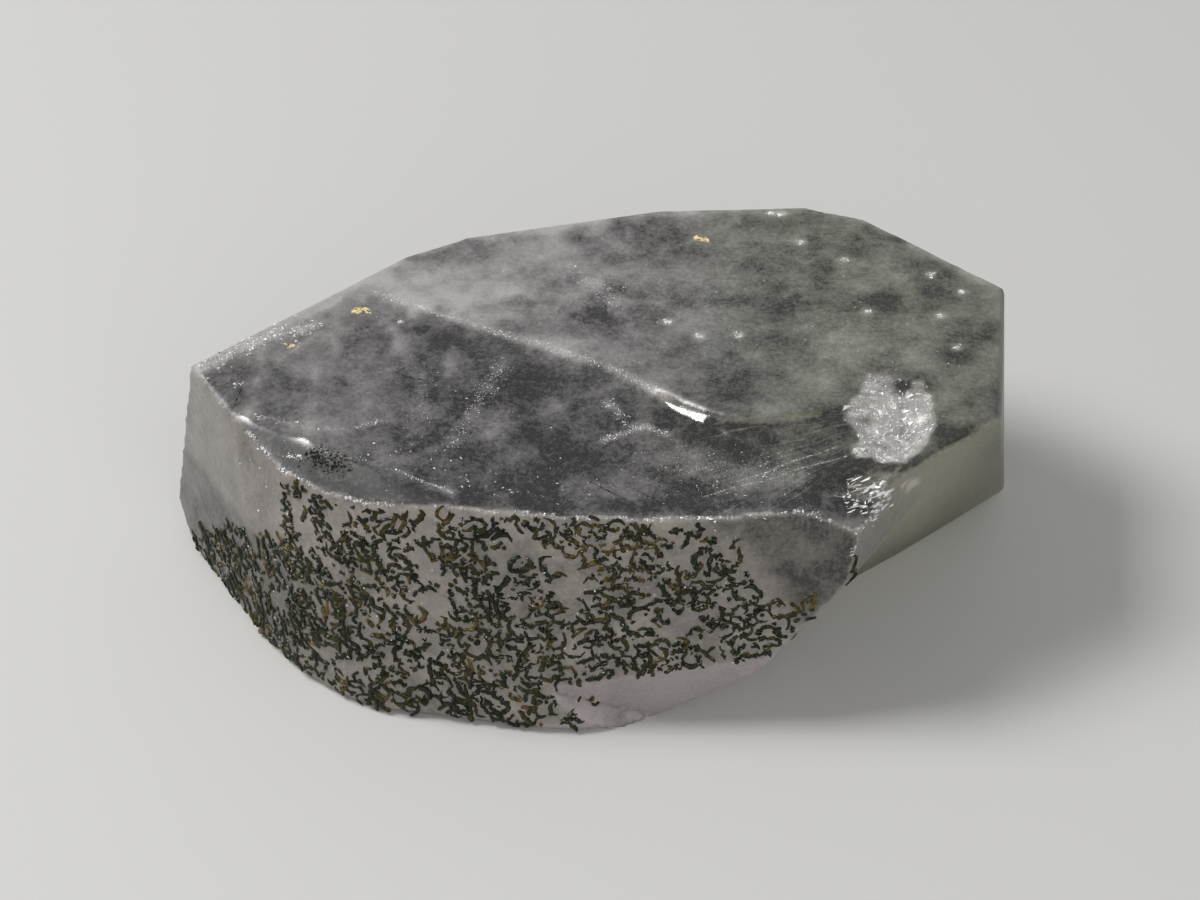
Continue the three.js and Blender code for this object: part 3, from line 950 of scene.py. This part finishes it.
def spaced(places, gap, number):
    """The first places of a list that lie at least a gap apart."""
    taken = {}
    chosen = []
    for index, place in enumerate(places):
        cell = tuple(np.floor(place / gap).astype(int))
        around = [taken.get((cell[0] + i, cell[1] + j, cell[2] + k), ()) for i, j, k in CELL_STEPS]
        if all(np.linalg.norm(place - other) > gap for group in around for other in group):
            taken.setdefault(cell, []).append(place)
            chosen.append(index)
        if len(chosen) == number:
            break
    return chosen


def grain_places(crystal, number, gap, random):
    """Where the grains grow over the front, in loose groups and a little apart."""
    places, normals = surface_samples(crystal, GRAIN_TRIALS, random)
    x, z = places[:, 0] / MM, places[:, 2] / MM
    front = (normals[:, 1] < -0.3) & (np.abs(normals[:, 2]) < 0.5) & (foot_share(places, normals) < 0.3)
    low, high = np.interp(x, GRAIN_X, GRAIN_LOW), np.interp(x, GRAIN_X, GRAIN_HIGH)
    cover = np.interp(x, GRAIN_X, GRAIN_COVER, left=0, right=0)
    edge = smoothstep(low - 0.2, low + 0.2, z) * smoothstep(high + 0.3, high - 0.2, z)
    clusters = layered_noise(places, GRAIN_GROUP, 2, seed=31)
    chance = cover * edge * np.clip(0.5 + 1.2 * clusters, 0.02, 1)
    kept = np.nonzero(front & (random.random(len(places)) < chance))[0]
    kept = kept[spaced(places[kept], gap * MM, number)]
    return places[kept], normals[kept]


def make_grains(crystal, random):
    """The fine cover of dark, worm-shaped grains on the front."""
    vertices, tints = [], []
    for number, shortest, longest, thinnest, thickest, gap in GRAIN_SORTS:
        places, normals = grain_places(crystal, number, gap, random)
        rust = layered_noise(places, 2.2 * MM, 2, seed=44)
        for place, normal, rusty in zip(places, normals, rust):
            length = random.uniform(shortest, longest) * MM
            radius = random.uniform(thinnest, thickest) * MM
            bend = random.uniform(-0.35, 0.35) * length
            lean = -0.8 if place[0] < -4 * MM else 0.1
            turn = lean + random.normal(0, 0.95)
            sink = random.uniform(-0.03, 0.06) * MM
            vertices += worm(place, normal, random, length, radius, turn, bend, sink)
            tints.append(0.36 + 0.35 * rusty + random.uniform(-0.35, 0.35))
    each = GRAIN_RINGS * GRAIN_SIDES + 2
    faces = worm_faces() + each * np.arange(len(tints))[:, None, None]
    vertices = np.array(vertices)
    vertices[:, 2] = np.maximum(vertices[:, 2], 0)
    grains = new_object("dark_grains", vertices, faces.reshape(-1, 3))
    tints = np.repeat(tints, each) + random.normal(0, 0.18, len(vertices))
    set_attribute(grains, "tint", np.clip(tints, 0, 1))
    dark = tinted_material("dark_grains", GRAIN_COLOURS, 0.16, 0.45, shine=0.25)
    grains.data.materials.append(dark)
    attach(grains, "root")
    return dark


def make_pocket(crystal, material, random):
    """Dark green matter at the surface beside the left rim, and the dark cracks."""
    plan = along_line(POCKET, POCKET_FLAKES, random) + 0.3 * random.normal(size=(POCKET_FLAKES, 2))
    places, normals = surface_below(crystal, plan * MM)
    places[:, 2] -= random.uniform(-0.02, 0.1, len(places)) * MM
    sizes = random.uniform(0.12, 0.35, len(places)) * MM
    corners = [flake_corners(places, tilted(normals, 0.3, random), sizes, 0.4, random)]
    for start, end in CRACKS:
        plan = along_line([start, end], CRACK_FLAKES, random)
        plan = plan + 0.03 * random.normal(size=(CRACK_FLAKES, 2))
        places, normals = surface_below(crystal, plan * MM)
        along = (end[0] - start[0], end[1] - start[1], 0.0)
        sizes = random.uniform(0.05, 0.11, len(places)) * MM
        corners.append(flake_corners(places, normals, sizes, 0.3, random, 3.0, along))
    corners = np.concatenate(corners)
    flake_piece("green_pocket", corners, random.uniform(0.0, 0.5, len(corners)), material)


make_camera()
make_studio()
random = np.random.default_rng(SEED)
crystal, worn = make_crystal()
make_pocket(crystal, make_grains(crystal, random), random)
make_veils(crystal, random)
make_chips(crystal, worn, random)
make_dust(crystal, random)
